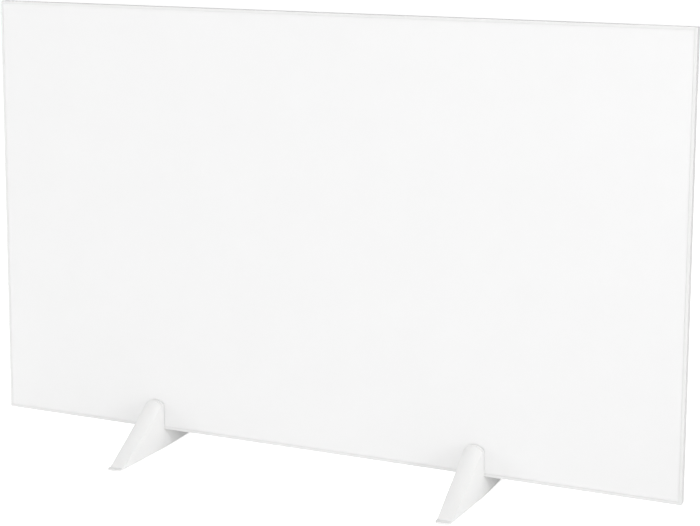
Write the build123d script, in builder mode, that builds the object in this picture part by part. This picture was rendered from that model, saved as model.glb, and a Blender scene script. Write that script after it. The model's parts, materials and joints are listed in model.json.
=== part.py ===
"""Free-standing partition wall: a slim framed sandwich panel that stands in two clamp feet.

Millimetres, +Z up, floor at Z = 0, origin on the floor under the middle of the panel.
X runs along the panel, and the front of the panel faces -Y.
"""
from build123d import *
import os

# ---------------------------------------------------------------- driving dimensions
panel_width = 1000.0        # outer length of the framed panel
panel_height = 600.0        # outer height of the framed panel
panel_thickness = 12.0      # over the lips of the edge rails
ground_gap = 28.0           # floor to the lower edge of the panel

rail_lip = 4.0              # visible face of an edge rail
rail_depth = 18.0           # how far a rail reaches into the panel
rail_wall = 1.4             # wall around the rail's hollow chamber
skin_rebate = 1.0           # step from the lip down to the face that carries a skin
lip_edge_radius = 0.6       # softened outer edges of a rail
corner_radius = 1.5         # outline of the panel at its corners
mitre_gap = 0.05            # half of the hairline at a mitred corner

skin_thickness = 0.8
skin_edge_gap = 0.2         # skin edge to the shoulder of the lip
skin_corner_radius = 1.0
core_clearance = 0.2

key_leg = 48.0              # corner key, from the outer corner to the end of a leg
key_clearance = 0.1
key_chamfer = 0.8
key_screw_spot = 34.0       # screw position along a leg, from the outer corner
key_screw_length = 6.5

screw_shank_radius = 1.5
screw_head_radius = 2.75
screw_clearance = 0.05
screw_recess_width = 0.7
screw_recess_depth = 0.6

left_foot_x = -253.0        # where the feet stand along the panel
right_foot_x = 226.0

foot_reach = 127.0          # toe tip to the middle plane of the panel
foot_half_width = 14.0      # at the floor, beside the slot
shoulder_half_width = 12.9  # the side draft leaves the top a little narrower
crown_height = 70.0         # top of the arched crown
crown_rise = 6.5            # the crown above the top of a foot's side edges
lobe_land = 10.0            # half length of the straight block around the slot
toe_half_width = 10.0       # at the tip of a toe, before its corners are rounded
toe_corner_radius = 5.5     # corners of a toe, seen from above
toe_height = 2.0            # thickness of the thin toe
nose_length = 10.5          # length of the thin toe, from its tip
toe_crown = 0.4             # rise of the arch where the slope starts
ridge_radius = 1.2          # softened edges of the sloping back
foot_wall = 2.4             # moulded side wall
roof_wall = 3.0             # moulded wall under the slope, measured upright
slot_floor_wall = 2.6
rib_thickness = 1.6
inner_rib_spot = 33.0       # cross ribs, from the middle plane
outer_rib_spot = 72.0
boss_spot = 52.0            # base screw boss, from the middle plane
boss_radius = 4.0
boss_hole_depth = 12.0

grip_thickness = 0.8        # soft saddle around the lower edge of the panel
grip_floor = 1.0
grip_gap = 0.1              # running gap on each side of the saddle
grip_setback = 0.15         # the saddle's outline stays this far inside the foot's
grip_notch_gap = 0.6

base_plate_thickness = 2.0
base_plate_gap = 0.2
base_screw_length = 10.0

pad_radius = 7.0            # rubber pad under a toe
pad_setback = 13.0          # from the tip of the toe to the middle of the pad
pad_thickness = 1.6
pad_recess = 0.4
pad_gap = 0.1
pad_edge_radius = 0.4

clamp_height = 10.0         # clamp axis above the lower edge of the panel
clamp_pad_radius = 6.0
clamp_pad_thickness = 2.8
clamp_pad_gap = 0.1         # pad face to the plane of the lips, with the clamp slack
clamp_travel = 1.5
clamp_screw_radius = 3.0
clamp_screw_length = 18.0
clamp_tip_radius = 2.0
clamp_tip_length = 1.4
clamp_key_flats = 3.0       # hexagon key size
clamp_key_depth = 3.5
insert_radius = 4.2
insert_length = 9.0
insert_setback = 0.6        # insert to the bottom of the clamp pad's pocket
insert_groove = 0.4
clamp_boss_radius = 6.6
key_tube_radius = 3.6       # way in for the hexagon key
key_tube_wall = 2.0
running_gap = 0.05

# ---------------------------------------------------------------- values worked out from them
half_width = panel_width / 2
half_thickness = panel_thickness / 2
panel_top = ground_gap + panel_height
panel_middle = ground_gap + panel_height / 2
skin_seat = half_thickness - skin_rebate
chamber_near = rail_wall
chamber_far = rail_depth - rail_wall
chamber_half = skin_seat - rail_wall
chamber_middle = (chamber_near + chamber_far) / 2
screw_head_height = screw_head_radius - screw_shank_radius

shoulder_height = crown_height - crown_rise
pad_spot = foot_reach - pad_setback
foot_base = pad_thickness - pad_recess
toe_top = foot_base + toe_height
nose_start = foot_reach - nose_length
slope = (shoulder_height - toe_top) / (nose_start - lobe_land)
taper = (foot_half_width - toe_half_width) / (foot_reach - lobe_land)
cavity_end = nose_start - 5 * roof_wall
slot_half = half_thickness + grip_gap + grip_thickness + grip_gap
slot_floor = ground_gap - grip_floor
plate_top = foot_base + base_plate_thickness

clamp_axis = ground_gap + clamp_height
clamp_face = half_thickness + clamp_pad_gap
clamp_back = clamp_face + clamp_pad_thickness
pocket_bottom = clamp_back + clamp_travel + running_gap
insert_start = pocket_bottom + insert_setback
insert_end = insert_start + insert_length
clamp_boss_end = insert_end + key_tube_wall


# ---------------------------------------------------------------- fasteners
def countersunk_screw(length):
    """A cross-recess screw, head face on the XY plane, shank pointing down."""
    with BuildPart() as screw:
        with BuildSketch(Plane.XZ):
            with BuildLine():
                Polyline(
                    (0, 0),
                    (screw_head_radius, 0),
                    (screw_shank_radius, -screw_head_height),
                    (screw_shank_radius, screw_shank_radius - length),
                    (0, -length),
                    close=True,
                )
            make_face()
        revolve(axis=Axis.Z)
        with BuildSketch():
            Rectangle(2 * screw_shank_radius, screw_recess_width)
            Rectangle(screw_recess_width, 2 * screw_shank_radius)
        extrude(amount=-screw_recess_depth, mode=Mode.SUBTRACT)
    return screw.part


# ---------------------------------------------------------------- edge rails of the panel
def mitred_strip(length, near, far, half_depth):
    """A bar between two distances from the outer edge, its ends cut at 45 degrees."""
    with BuildPart() as strip:
        with BuildSketch():
            with BuildLine():
                Polyline(
                    (near - length / 2, near),
                    (length / 2 - near, near),
                    (length / 2 - far, far),
                    (far - length / 2, far),
                    close=True,
                )
            make_face()
        extrude(amount=half_depth, both=True)
    return strip.part


def edge_rail(length):
    """Hollow rail lying along X, outer edge at Y = 0, its rear face towards -Z."""
    screw_x = length / 2 - key_screw_spot
    cut_length = length - 2 * mitre_gap
    with BuildPart() as rail:
        add(mitred_strip(cut_length, 0, rail_lip, half_thickness))
        fillet(rail.edges().sort_by(SortBy.LENGTH)[-2:], lip_edge_radius)
        add(mitred_strip(cut_length, rail_lip / 2, rail_depth, skin_seat))
        add(mitred_strip(cut_length, chamber_near, chamber_far, chamber_half), mode=Mode.SUBTRACT)
        with Locations(Plane((0, chamber_middle, -skin_seat), x_dir=(1, 0, 0), z_dir=(0, 0, -1))):
            with Locations((-screw_x, 0), (screw_x, 0)):
                CounterSinkHole(
                    screw_shank_radius + screw_clearance,
                    screw_head_radius + screw_clearance,
                    depth=2 * rail_wall,
                    counter_sink_angle=90,
                )
    return rail.part


FRONT = (0, -1, 0)
rail_places = {
    "bottom_rail": (panel_width, Plane((0, 0, ground_gap), x_dir=(1, 0, 0), z_dir=FRONT)),
    "top_rail": (panel_width, Plane((0, 0, panel_top), x_dir=(-1, 0, 0), z_dir=FRONT)),
    "left_stile": (panel_height, Plane((-half_width, 0, panel_middle), x_dir=(0, 0, -1), z_dir=FRONT)),
    "right_stile": (panel_height, Plane((half_width, 0, panel_middle), x_dir=(0, 0, 1), z_dir=FRONT)),
}

pieces = {}
for name, (length, place) in rail_places.items():
    rail = edge_rail(length)
    with BuildPart() as placed_rail:
        with Locations(place):
            add(rail)
        with BuildSketch(Plane.XZ):
            with Locations((0, panel_middle)):
                RectangleRounded(panel_width, panel_height, corner_radius)
        extrude(amount=panel_thickness, both=True, mode=Mode.INTERSECT)
    pieces[name] = placed_rail.part


# ---------------------------------------------------------------- corner keys and their screws
def corner_key(right, up):
    """L-shaped key that joins two rails; right and up are -1 or 1."""
    near = chamber_near + key_clearance
    far = chamber_far - key_clearance
    corner_z = panel_middle + up * panel_height / 2

    def inside(u, v):
        return (right * (half_width - u), corner_z - up * v)

    with BuildPart() as key:
        with BuildSketch(Plane.XZ):
            with BuildLine():
                Polyline(
                    inside(near, near),
                    inside(key_leg, near),
                    inside(key_leg, far),
                    inside(far, far),
                    inside(far, key_leg),
                    inside(near, key_leg),
                    close=True,
                )
            make_face()
        extrude(amount=chamber_half - key_clearance, both=True)
        ends = key.faces().filter_by(Axis.X).sort_by(Axis.X)[-1 if right < 0 else 0].edges()
        ends += key.faces().filter_by(Axis.Z).sort_by(Axis.Z)[-1 if up < 0 else 0].edges()
        chamfer(ends, key_chamfer)
        for u, v in ((key_screw_spot, chamber_middle), (chamber_middle, key_screw_spot)):
            x, z = inside(u, v)
            with Locations(Plane((x, chamber_half, z), z_dir=(0, 1, 0))):
                Hole(screw_shank_radius + screw_clearance, depth=2 * chamber_half)
    return key.part


corners = {
    "top_left_key": (-1, 1),
    "top_right_key": (1, 1),
    "bottom_left_key": (-1, -1),
    "bottom_right_key": (1, -1),
}
for name, (right, up) in corners.items():
    pieces[name] = corner_key(right, up)

screw_places = []
for right, up in corners.values():
    for u, v in ((key_screw_spot, chamber_middle), (chamber_middle, key_screw_spot)):
        x = right * (half_width - u)
        z = panel_middle + up * (panel_height / 2 - v)
        screw_places.append(Plane((x, skin_seat, z), z_dir=(0, 1, 0)))

key_screw = countersunk_screw(key_screw_length)
with BuildPart() as corner_screws:
    with Locations(*screw_places):
        add(key_screw)
pieces["corner_screws"] = corner_screws.part

# ---------------------------------------------------------------- skins and core
skin_width = panel_width - 2 * (rail_lip + skin_edge_gap)
skin_height = panel_height - 2 * (rail_lip + skin_edge_gap)
for name, start in (("front_skin", -skin_seat - skin_thickness), ("rear_skin", skin_seat)):
    with BuildPart() as skin:
        with BuildSketch(Plane((0, start, panel_middle), x_dir=(1, 0, 0), z_dir=(0, 1, 0))):
            RectangleRounded(skin_width, skin_height, skin_corner_radius)
        extrude(amount=skin_thickness)
    pieces[name] = skin.part

core_inset = 2 * (rail_depth + core_clearance)
with BuildPart() as honeycomb_core:
    with Locations((0, 0, panel_middle)):
        Box(panel_width - core_inset, 2 * skin_seat, panel_height - core_inset)
pieces["honeycomb_core"] = honeycomb_core.part


# ---------------------------------------------------------------- foot shell
def half_width_at(reach):
    """Half width of a foot at the floor, at a distance from the panel's middle plane."""
    return foot_half_width - taper * (reach - lobe_land)


def shoulder_at(reach):
    """Height of a foot's side edge, at a distance from the panel's middle plane."""
    return shoulder_height - slope * (reach - lobe_land)


def lobe_section(reach, wall=0.0, roof=0.0):
    """Upright section across a foot, with an arched top; wall and roof shrink it."""
    share = (shoulder_at(reach) - toe_top) / (shoulder_height - toe_top)
    low_half = half_width_at(reach) - wall
    top_half = low_half - share * (foot_half_width - shoulder_half_width)
    side_top = shoulder_at(reach) - roof
    rise = toe_crown + share * (crown_rise - toe_crown)
    with BuildSketch(Plane.XZ.offset(reach)) as section:
        with BuildLine():
            Polyline(
                (-top_half, side_top),
                (-low_half, foot_base),
                (low_half, foot_base),
                (top_half, side_top),
            )
            ThreePointArc((top_half, side_top), (0, side_top + rise), (-top_half, side_top))
        make_face()
    return section.sketch


def upright_cylinder(radius, y, bottom, top):
    """A cylinder along Z."""
    with BuildPart() as cylinder:
        with BuildSketch(Plane.XY.offset(bottom)):
            with Locations((0, y)):
                Circle(radius)
        extrude(amount=top - bottom)
    return cylinder.part


def clamp_cylinder(radius, start, end):
    """A cylinder along Y, on the axis of the clamp screw."""
    with BuildPart() as cylinder:
        with BuildSketch(Plane((0, start, clamp_axis), x_dir=(1, 0, 0), z_dir=(0, 1, 0))):
            Circle(radius)
        extrude(amount=end - start)
    return cylinder.part


hollow_sections = [
    lobe_section(cavity_end, foot_wall, roof_wall),
    lobe_section(lobe_land, foot_wall, roof_wall),
]
with BuildPart() as foot_hollow:
    loft(sections=hollow_sections, ruled=True)
    mirror(about=Plane.XZ)
    with BuildSketch(Plane.XY.offset(foot_base)):
        Rectangle(2 * (foot_half_width - foot_wall), 2 * lobe_land)
    extrude(amount=slot_floor - slot_floor_wall - foot_base)
    for side in (-1, 1):
        with BuildSketch(Plane.XY.offset(plate_top)):
            for spot in (inner_rib_spot, outer_rib_spot):
                with Locations((0, side * spot)):
                    Rectangle(2 * foot_half_width, rib_thickness)
        extrude(amount=crown_height, mode=Mode.SUBTRACT)
        boss = upright_cylinder(boss_radius, side * boss_spot, plate_top, crown_height)
        add(boss, mode=Mode.SUBTRACT)
    add(clamp_cylinder(clamp_boss_radius, slot_half, clamp_boss_end), mode=Mode.SUBTRACT)
    key_tube = clamp_cylinder(key_tube_radius + key_tube_wall, slot_half, foot_reach)
    add(key_tube, mode=Mode.SUBTRACT)

nose_half = half_width_at(nose_start)
with BuildPart() as foot_shell:
    loft(sections=[lobe_section(nose_start), lobe_section(lobe_land)], ruled=True)
    long_edges = foot_shell.edges().filter_by(lambda edge: edge.length > lobe_land * slope * 5)
    fillet(long_edges.sort_by(Axis.Z)[-2:], ridge_radius)
    extrude(lobe_section(lobe_land), amount=-lobe_land)
    with BuildSketch(Plane.XY.offset(foot_base)) as nose_outline:
        with BuildLine():
            Polyline(
                (-toe_half_width, -foot_reach),
                (-nose_half, -nose_start),
                (nose_half, -nose_start),
                (toe_half_width, -foot_reach),
                close=True,
            )
        make_face()
        fillet(nose_outline.vertices().sort_by(Axis.Y)[:2], toe_corner_radius)
    extrude(amount=toe_height)
    mirror(about=Plane.XZ)
    add(foot_hollow.part, mode=Mode.SUBTRACT)
    with BuildSketch(Plane.XY.offset(slot_floor)):
        Rectangle(3 * foot_half_width, 2 * slot_half)
    extrude(amount=crown_height, mode=Mode.SUBTRACT)
    bores = [
        clamp_cylinder(clamp_pad_radius + running_gap, slot_half, pocket_bottom),
        clamp_cylinder(clamp_screw_radius + 2 * running_gap, slot_half, foot_reach),
        clamp_cylinder(insert_radius, insert_start, insert_end),
        clamp_cylinder(key_tube_radius, insert_end, foot_reach),
    ]
    hole_radius = screw_shank_radius + screw_clearance
    for side in (-1, 1):
        boss_hole_end = plate_top + boss_hole_depth
        bores.append(upright_cylinder(hole_radius, side * boss_spot, foot_base, boss_hole_end))
        pad_seat = pad_radius + pad_gap
        bores.append(upright_cylinder(pad_seat, side * pad_spot, foot_base, pad_thickness))
    for bore in bores:
        add(bore, mode=Mode.SUBTRACT)

# ---------------------------------------------------------------- base plate, screws, pads of a foot
plate_end = cavity_end - base_plate_gap
plate_half = half_width_at(lobe_land) - foot_wall - base_plate_gap
plate_end_half = half_width_at(cavity_end) - foot_wall - base_plate_gap
with BuildPart() as base_plate:
    with BuildSketch(Plane.XY.offset(foot_base)):
        with BuildLine():
            Polyline(
                (-plate_end_half, -plate_end),
                (plate_end_half, -plate_end),
                (plate_half, -lobe_land),
                (plate_half, lobe_land),
                (plate_end_half, plate_end),
                (-plate_end_half, plate_end),
                (-plate_half, lobe_land),
                (-plate_half, -lobe_land),
                close=True,
            )
        make_face()
    extrude(amount=base_plate_thickness)
    with Locations(Plane((0, 0, foot_base), x_dir=(1, 0, 0), z_dir=(0, 0, -1))):
        with Locations((0, -boss_spot), (0, boss_spot)):
            CounterSinkHole(
                screw_shank_radius + screw_clearance,
                screw_head_radius + screw_clearance,
                depth=2 * base_plate_thickness,
                counter_sink_angle=90,
            )

base_screw = countersunk_screw(base_screw_length)
with BuildPart() as base_screws:
    with Locations(Plane((0, 0, foot_base), x_dir=(1, 0, 0), z_dir=(0, 0, -1))):
        with Locations((0, -boss_spot), (0, boss_spot)):
            add(base_screw)


def toe_pad(side):
    """Rubber disc under a toe; side is -1 for the front and 1 for the rear."""
    with BuildPart() as pad:
        add(upright_cylinder(pad_radius, side * pad_spot, 0, pad_thickness))
        fillet(pad.edges().group_by(Axis.Z)[0], pad_edge_radius)
    return pad.part


# ---------------------------------------------------------------- soft saddle in the slot
grip_inner = half_thickness + grip_gap
grip_outer = grip_inner + grip_thickness
notch_radius = clamp_pad_radius + grip_notch_gap
with BuildPart() as edge_grip:
    extrude(lobe_section(lobe_land, grip_setback, grip_setback), amount=-2 * lobe_land)
    with BuildSketch(Plane.XY.offset(slot_floor)):
        Rectangle(2 * foot_half_width, 2 * grip_outer)
    extrude(amount=crown_height, mode=Mode.INTERSECT)
    with BuildSketch(Plane.XY.offset(ground_gap)):
        Rectangle(2 * foot_half_width, 2 * grip_inner)
    extrude(amount=crown_height, mode=Mode.SUBTRACT)
    add(clamp_cylinder(notch_radius, 0, 2 * grip_outer), mode=Mode.SUBTRACT)
    with BuildSketch(Plane.XY.offset(slot_floor)):
        with Locations((0, half_thickness - skin_rebate / 2)):
            Rectangle(2 * notch_radius, 4 * grip_thickness, align=(Align.CENTER, Align.MIN))
    extrude(amount=clamp_axis - slot_floor, mode=Mode.SUBTRACT)

# ---------------------------------------------------------------- clamp
insert_centre = (0, insert_start + insert_length / 2, clamp_axis)
insert_middle = Plane(insert_centre, x_dir=(1, 0, 0), z_dir=(0, 1, 0))
with BuildPart() as thread_insert:
    add(clamp_cylinder(insert_radius, insert_start, insert_end))
    with BuildSketch(insert_middle):
        Circle(insert_radius + insert_groove)
        Circle(insert_radius - insert_groove, mode=Mode.SUBTRACT)
    extrude(amount=insert_length / 8, both=True, mode=Mode.SUBTRACT)
    screw_way = clamp_cylinder(clamp_screw_radius + running_gap, insert_start, insert_end)
    add(screw_way, mode=Mode.SUBTRACT)

tip_end = clamp_back - clamp_tip_length
with BuildPart() as clamp_pad:
    add(clamp_cylinder(clamp_pad_radius, clamp_face, clamp_back))
    fillet(clamp_pad.edges().group_by(Axis.Y)[0], pad_edge_radius)
    tip_socket = clamp_cylinder(clamp_tip_radius + running_gap, tip_end - running_gap, clamp_back)
    add(tip_socket, mode=Mode.SUBTRACT)

screw_end = clamp_back + clamp_screw_length
with BuildPart() as clamp_screw:
    add(clamp_cylinder(clamp_screw_radius, clamp_back + running_gap, screw_end))
    chamfer(clamp_screw.edges().group_by(Axis.Y)[-1], pad_edge_radius)
    add(clamp_cylinder(clamp_tip_radius, tip_end, clamp_back + running_gap))
    with BuildSketch(Plane((0, screw_end, clamp_axis), x_dir=(1, 0, 0), z_dir=(0, 1, 0))):
        RegularPolygon(clamp_key_flats / 2, 6, major_radius=False)
    extrude(amount=-clamp_key_depth, mode=Mode.SUBTRACT)

# ---------------------------------------------------------------- the two feet in their places
foot_pieces = {
    "foot_shell": foot_shell.part,
    "base_plate": base_plate.part,
    "base_screws": base_screws.part,
    "front_toe_pad": toe_pad(-1),
    "rear_toe_pad": toe_pad(1),
    "edge_grip": edge_grip.part,
    "thread_insert": thread_insert.part,
    "clamp_pad": clamp_pad.part,
    "clamp_screw": clamp_screw.part,
}
for side, x in (("left", left_foot_x), ("right", right_foot_x)):
    for name, shape in foot_pieces.items():
        with BuildPart() as placed:
            with Locations((x, 0, 0)):
                add(shape)
        pieces[f"{side}_{name}"] = placed.part

# ---------------------------------------------------------------- files
os.makedirs("parts", exist_ok=True)
for name, part in pieces.items():
    part.label = name
    export_step(part, f"parts/{name}.step")
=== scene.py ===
"""Looks of the free-standing partition wall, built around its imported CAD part.

Metres, in the part's own frame: X runs along the panel, its front faces -Y, the floor is Z = 0.
"""
import json
import math

import bpy
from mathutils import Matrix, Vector

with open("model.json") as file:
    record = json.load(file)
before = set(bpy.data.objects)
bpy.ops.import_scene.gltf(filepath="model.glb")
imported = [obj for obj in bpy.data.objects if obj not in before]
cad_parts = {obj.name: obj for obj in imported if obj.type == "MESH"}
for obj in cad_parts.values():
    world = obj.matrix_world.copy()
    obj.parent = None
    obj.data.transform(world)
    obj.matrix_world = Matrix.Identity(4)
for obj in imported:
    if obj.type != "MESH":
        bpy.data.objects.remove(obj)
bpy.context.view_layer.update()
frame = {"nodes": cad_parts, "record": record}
MM = 0.001

# ---------------------------------------------------------------- sizes and colours
LAMINATE_WHITE = (0.747, 0.747, 0.747)
COATED_WHITE = (0.708, 0.708, 0.704)
MOULDED_WHITE = (0.768, 0.768, 0.764)
KEY_GREY = (0.05, 0.05, 0.052)
NYLON_CREAM = (0.72, 0.7, 0.64)
RUBBER_BLACK = (0.022, 0.022, 0.023)
RUBBER_PALE = (0.74, 0.74, 0.73)
ZINC = (0.56, 0.56, 0.54)
BRASS = (0.72, 0.5, 0.2)
PAINTED_CELL_SHADE = (0.12, 0.08, 0.045)
PAPER_OVER_SHADE = 4.4      # the paper of a cell is this much lighter than the painted shade inside it
DULL = 0.9                  # roughness of a surface where it doesn't vary
NOISE_SPREAD = (0.3, 0.7)   # nearly all values of a noise texture lie between these two

WELD_DISTANCE = 0.001 * MM
EDGE_SEGMENTS = 3
EDGE_ANGLE = math.radians(35)
EDGE_SOFTNESS = {
    "frame_white": 0.25 * MM,
    "skin_white": 0.15 * MM,
    "foot_white": 0.5 * MM,
    "grip_rubber": 0.2 * MM,
    "zinc_steel": 0.12 * MM,
}

FLOOR_REACH = 40
FLOOR_WHITE = (0.92, 0.92, 0.92)
FLOOR_GLOW = 0.6            # what the camera sees, so that the floor stays plain white
FLOOR_BOUNCE = 0.1          # what the object gets from below, as from a lit table top
SKY_IN_FRONT = 0.875
SKY_BEHIND = 0.13
SKY_TURN = (-0.1, 0.5)      # between these Y of a unit direction the front sky becomes the one behind
SKY_OVERHEAD = 0.7          # share of the sky's strength that is left straight above
LIGHT_AIM = (0, 0, 0.25)
LIGHT_SIZE = 1.6
LIGHTS = {                  # place and watts
    "key": ((1.3, -4.6, 2.2), 76),
    "side": ((5.6, -1.6, 1.6), 84),
    "fill": ((-4.5, -2.5, 1.2), 36),
    "top": ((-0.8, 1.6, 3.2), 42),
    "back": ((0, 4.4, 1.0), 10),
}

CAMERA_PLACE = (0.9957, -2.189, 0.8226)
CAMERA_AZIMUTH = 25.15
CAMERA_PITCH = 8.97
CAMERA_LENS = 93.9
CAMERA_SENSOR = 36
CAMERA_SHIFT = (0.0734, -0.160)


# ---------------------------------------------------------------- shader building blocks
def surface(name, colour):
    """A principled material; returns it with its node tree, shader and object coordinates."""
    material = bpy.data.materials.new(name)
    material.use_nodes = True
    tree = material.node_tree
    shader = tree.nodes["Principled BSDF"]
    shader.inputs["Base Color"].default_value = (*colour, 1)
    shader.inputs["Roughness"].default_value = DULL
    where = tree.nodes.new("ShaderNodeTexCoord").outputs["Object"]
    return material, tree, shader, where


def noise(tree, where, size, detail=3.0, stretch=(1, 1, 1)):
    """Noise whose features are about size metres across; stretch lengthens them along an axis."""
    mapping = tree.nodes.new("ShaderNodeMapping")
    mapping.inputs["Scale"].default_value = [1 / s for s in stretch]
    tree.links.new(where, mapping.inputs["Vector"])
    texture = tree.nodes.new("ShaderNodeTexNoise")
    texture.inputs["Scale"].default_value = 1 / size
    texture.inputs["Detail"].default_value = detail
    tree.links.new(mapping.outputs["Vector"], texture.inputs["Vector"])
    return texture.outputs["Fac"]


def map_range(tree, value, span, ends, interpolation="LINEAR"):
    """Value taken from the range span to the range ends."""
    mapped = tree.nodes.new("ShaderNodeMapRange")
    mapped.interpolation_type = interpolation
    mapped.inputs["From Min"].default_value = span[0]
    mapped.inputs["From Max"].default_value = span[1]
    mapped.inputs["To Min"].default_value = ends[0]
    mapped.inputs["To Max"].default_value = ends[1]
    tree.links.new(value, mapped.inputs["Value"])
    return mapped.outputs["Result"]


def vary_colour(tree, shader, factor, colour, change, spread=NOISE_SPREAD):
    """The base colour goes from colour * change to colour as factor crosses spread."""
    ramp = tree.nodes.new("ShaderNodeValToRGB")
    first, last = ramp.color_ramp.elements
    first.position, last.position = spread
    first.color = (*[c * change for c in colour], 1)
    last.color = (*colour, 1)
    tree.links.new(factor, ramp.inputs["Fac"])
    tree.links.new(ramp.outputs["Color"], shader.inputs["Base Color"])


def vary_roughness(tree, shader, factor, low, high):
    """The roughness wanders between low and high along factor."""
    tree.links.new(map_range(tree, factor, NOISE_SPREAD, (low, high)), shader.inputs["Roughness"])


def relief(tree, shader, height, depth):
    """Surface relief of the given depth in metres; calls stack up."""
    bump = tree.nodes.new("ShaderNodeBump")
    bump.inputs["Distance"].default_value = depth
    bump.inputs["Strength"].default_value = 1
    tree.links.new(height, bump.inputs["Height"])
    if shader.inputs["Normal"].links:
        tree.links.new(shader.inputs["Normal"].links[0].from_socket, bump.inputs["Normal"])
    tree.links.new(bump.outputs["Normal"], shader.inputs["Normal"])


# ---------------------------------------------------------------- materials
def laminate():
    """Matt high-pressure laminate with a fine pearl texture."""
    material, tree, shader, where = surface("skin_white", LAMINATE_WHITE)
    vary_colour(tree, shader, noise(tree, where, 90 * MM, detail=4), LAMINATE_WHITE, change=0.992)
    vary_roughness(tree, shader, noise(tree, where, 30 * MM), low=0.46, high=0.56)
    relief(tree, shader, noise(tree, where, 0.6 * MM, detail=2), depth=0.012 * MM)
    relief(tree, shader, noise(tree, where, 60 * MM, detail=1), depth=0.05 * MM)
    return material


def powder_coat():
    """Satin powder coat with orange peel over an extruded rail."""
    material, tree, shader, where = surface("frame_white", COATED_WHITE)
    vary_colour(tree, shader, noise(tree, where, 14 * MM, detail=4), COATED_WHITE, change=0.988)
    vary_roughness(tree, shader, noise(tree, where, 6 * MM), low=0.34, high=0.46)
    relief(tree, shader, noise(tree, where, 1.6 * MM, detail=2), depth=0.03 * MM)
    relief(tree, shader, noise(tree, where, 0.35 * MM, detail=1), depth=0.006 * MM)
    return material


def moulded_plastic(name, colour, change=0.985):
    """Fine spark-eroded grain of an injection moulding."""
    material, tree, shader, where = surface(name, colour)
    shader.inputs["Specular IOR Level"].default_value = 0.3
    vary_colour(tree, shader, noise(tree, where, 25 * MM, detail=5), colour, change)
    vary_roughness(tree, shader, noise(tree, where, 4 * MM), low=0.55, high=0.68)
    relief(tree, shader, noise(tree, where, 0.45 * MM, detail=3), depth=0.02 * MM)
    shader.inputs["Subsurface Weight"].default_value = 0.05
    shader.inputs["Subsurface Radius"].default_value = (0.6 * MM, 0.5 * MM, 0.45 * MM)
    shader.inputs["Subsurface Scale"].default_value = 1.0
    return material


def soft_rubber(name, colour):
    """Dull rubber with a dusty bloom."""
    material, tree, shader, where = surface(name, colour)
    vary_colour(tree, shader, noise(tree, where, 5 * MM, detail=6), colour, change=0.82)
    vary_roughness(tree, shader, noise(tree, where, 2 * MM), low=0.7, high=0.9)
    relief(tree, shader, noise(tree, where, 0.3 * MM, detail=4), depth=0.03 * MM)
    return material


def turned_metal(name, colour, stretch):
    """Metal with fine machining marks drawn out by stretch."""
    material, tree, shader, where = surface(name, colour)
    shader.inputs["Metallic"].default_value = 1
    marks = noise(tree, where, 0.12 * MM, detail=2, stretch=stretch)
    vary_colour(tree, shader, noise(tree, where, 1.5 * MM, detail=4), colour, change=0.86)
    vary_roughness(tree, shader, marks, low=0.22, high=0.42)
    relief(tree, shader, marks, depth=0.01 * MM)
    return material


def honeycomb_paper():
    """Kraft paper cell walls, seen only where a skin is taken off; the dark inside of each cell is
    painted shade.
    """
    material, tree, shader, where = surface("honeycomb", PAINTED_CELL_SHADE)
    cells = tree.nodes.new("ShaderNodeTexVoronoi")
    cells.feature = "DISTANCE_TO_EDGE"
    cells.inputs["Scale"].default_value = 1 / (9 * MM)
    cells.inputs["Randomness"].default_value = 0.25
    tree.links.new(where, cells.inputs["Vector"])
    # paper colour along the cell edges, painted shade filling the inside of each cell
    vary_colour(tree, shader, cells.outputs["Distance"], PAINTED_CELL_SHADE, PAPER_OVER_SHADE, (0.02, 0.08))
    relief(tree, shader, noise(tree, where, 0.5 * MM, detail=4), depth=0.05 * MM)
    return material


materials = {
    "skin_white": laminate(),
    "frame_white": powder_coat(),
    "foot_white": moulded_plastic("foot_white", MOULDED_WHITE),
    "key_grey": moulded_plastic("key_grey", KEY_GREY, change=0.7),
    "pad_nylon": moulded_plastic("pad_nylon", NYLON_CREAM),
    "pad_rubber": soft_rubber("pad_rubber", RUBBER_BLACK),
    "grip_rubber": soft_rubber("grip_rubber", RUBBER_PALE),
    "zinc_steel": turned_metal("zinc_steel", ZINC, stretch=(1, 12, 12)),
    "insert_brass": turned_metal("insert_brass", BRASS, stretch=(12, 1, 12)),
    "honeycomb": honeycomb_paper(),
}


# ---------------------------------------------------------------- finish of the CAD pieces
def soften_edges(node, width):
    """Round the sharp edges of a CAD piece by width."""
    bevel = node.modifiers.new("soft_edges", "BEVEL")
    bevel.width = width
    bevel.segments = EDGE_SEGMENTS
    bevel.limit_method = "ANGLE"
    bevel.angle_limit = EDGE_ANGLE
    bevel.harden_normals = True


for subpart in frame["record"]["subparts"]:
    node = frame["nodes"][subpart["node"]]
    slot = subpart["material_slot"]
    node.data.materials.clear()
    node.data.materials.append(materials[slot])
    weld = node.modifiers.new("weld", "WELD")
    weld.merge_threshold = WELD_DISTANCE
    if slot in EDGE_SOFTNESS:
        soften_edges(node, EDGE_SOFTNESS[slot])


# ---------------------------------------------------------------- floor, sky and lights
def floor_material():
    """Plain white with a faint glow, stronger for the camera than for the object."""
    material, tree, shader, where = surface("floor", FLOOR_WHITE)
    vary_colour(tree, shader, noise(tree, where, 50 * MM), FLOOR_WHITE, change=0.995)
    shader.inputs["Emission Color"].default_value = (1, 1, 1, 1)
    glow = tree.nodes.new("ShaderNodeMath")
    glow.operation = "MULTIPLY_ADD"
    glow.inputs[1].default_value = FLOOR_GLOW - FLOOR_BOUNCE
    glow.inputs[2].default_value = FLOOR_BOUNCE
    tree.links.new(tree.nodes.new("ShaderNodeLightPath").outputs["Is Camera Ray"], glow.inputs[0])
    tree.links.new(glow.outputs[0], shader.inputs["Emission Strength"])
    return material


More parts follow.
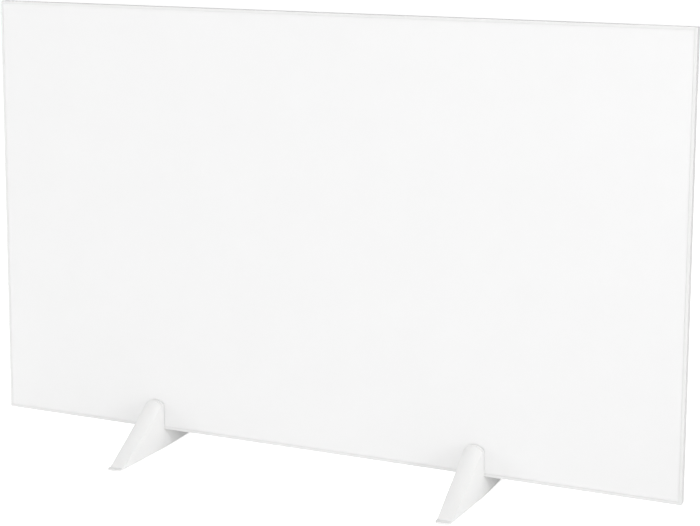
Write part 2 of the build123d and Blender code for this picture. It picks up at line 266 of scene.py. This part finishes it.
def flat_floor():
    """A square floor at Z = 0."""
    mesh = bpy.data.meshes.new("floor")
    signs = ((-1, -1), (1, -1), (1, 1), (-1, 1))
    mesh.from_pydata([(x * FLOOR_REACH, y * FLOOR_REACH, 0) for x, y in signs], [], [(0, 1, 2, 3)])
    mesh.materials.append(floor_material())
    floor = bpy.data.objects.new("floor", mesh)
    bpy.context.scene.collection.objects.link(floor)


def studio_sky():
    """A white sky, bright in front of the panel, dim behind it and a little dimmer overhead."""
    world = bpy.data.worlds.new("studio")
    world.use_nodes = True
    tree = world.node_tree
    direction = tree.nodes.new("ShaderNodeSeparateXYZ")
    coordinates = tree.nodes.new("ShaderNodeTexCoord").outputs["Generated"]
    tree.links.new(coordinates, direction.inputs["Vector"])
    strength = tree.nodes.new("ShaderNodeMath")
    strength.operation = "MULTIPLY"
    level = map_range(tree, direction.outputs["Y"], SKY_TURN, (SKY_IN_FRONT, SKY_BEHIND), "SMOOTHSTEP")
    overhead = map_range(tree, direction.outputs["Z"], (0, 1), (1, SKY_OVERHEAD), "SMOOTHSTEP")
    tree.links.new(level, strength.inputs[0])
    tree.links.new(overhead, strength.inputs[1])
    tree.links.new(strength.outputs["Value"], tree.nodes["Background"].inputs["Strength"])
    tree.nodes["Background"].inputs["Color"].default_value = (1, 1, 1, 1)
    bpy.context.scene.world = world


def soft_box(name, place, watts):
    """A square area light at place that points at the panel."""
    data = bpy.data.lights.new(name, "AREA")
    data.size = LIGHT_SIZE
    data.energy = watts
    lamp = bpy.data.objects.new(name, data)
    lamp.location = place
    lamp.rotation_mode = "QUATERNION"
    lamp.rotation_quaternion = (Vector(LIGHT_AIM) - Vector(place)).to_track_quat("-Z", "Y")
    lamp.visible_camera = False
    bpy.context.scene.collection.objects.link(lamp)


flat_floor()
studio_sky()
for name, (place, watts) in LIGHTS.items():
    soft_box(name, place, watts)


# ---------------------------------------------------------------- camera
def studio_camera():
    """The camera, in front of the panel's right half and a little above it."""
    data = bpy.data.cameras.new("camera")
    data.lens = CAMERA_LENS
    data.sensor_width = CAMERA_SENSOR
    data.shift_x, data.shift_y = CAMERA_SHIFT
    camera = bpy.data.objects.new("camera", data)
    camera.location = CAMERA_PLACE
    camera.rotation_euler = (math.radians(90 - CAMERA_PITCH), 0, math.radians(CAMERA_AZIMUTH))
    bpy.context.scene.collection.objects.link(camera)
    return camera


bpy.context.scene.camera = studio_camera()
bpy.context.scene.view_settings.view_transform = "Standard"
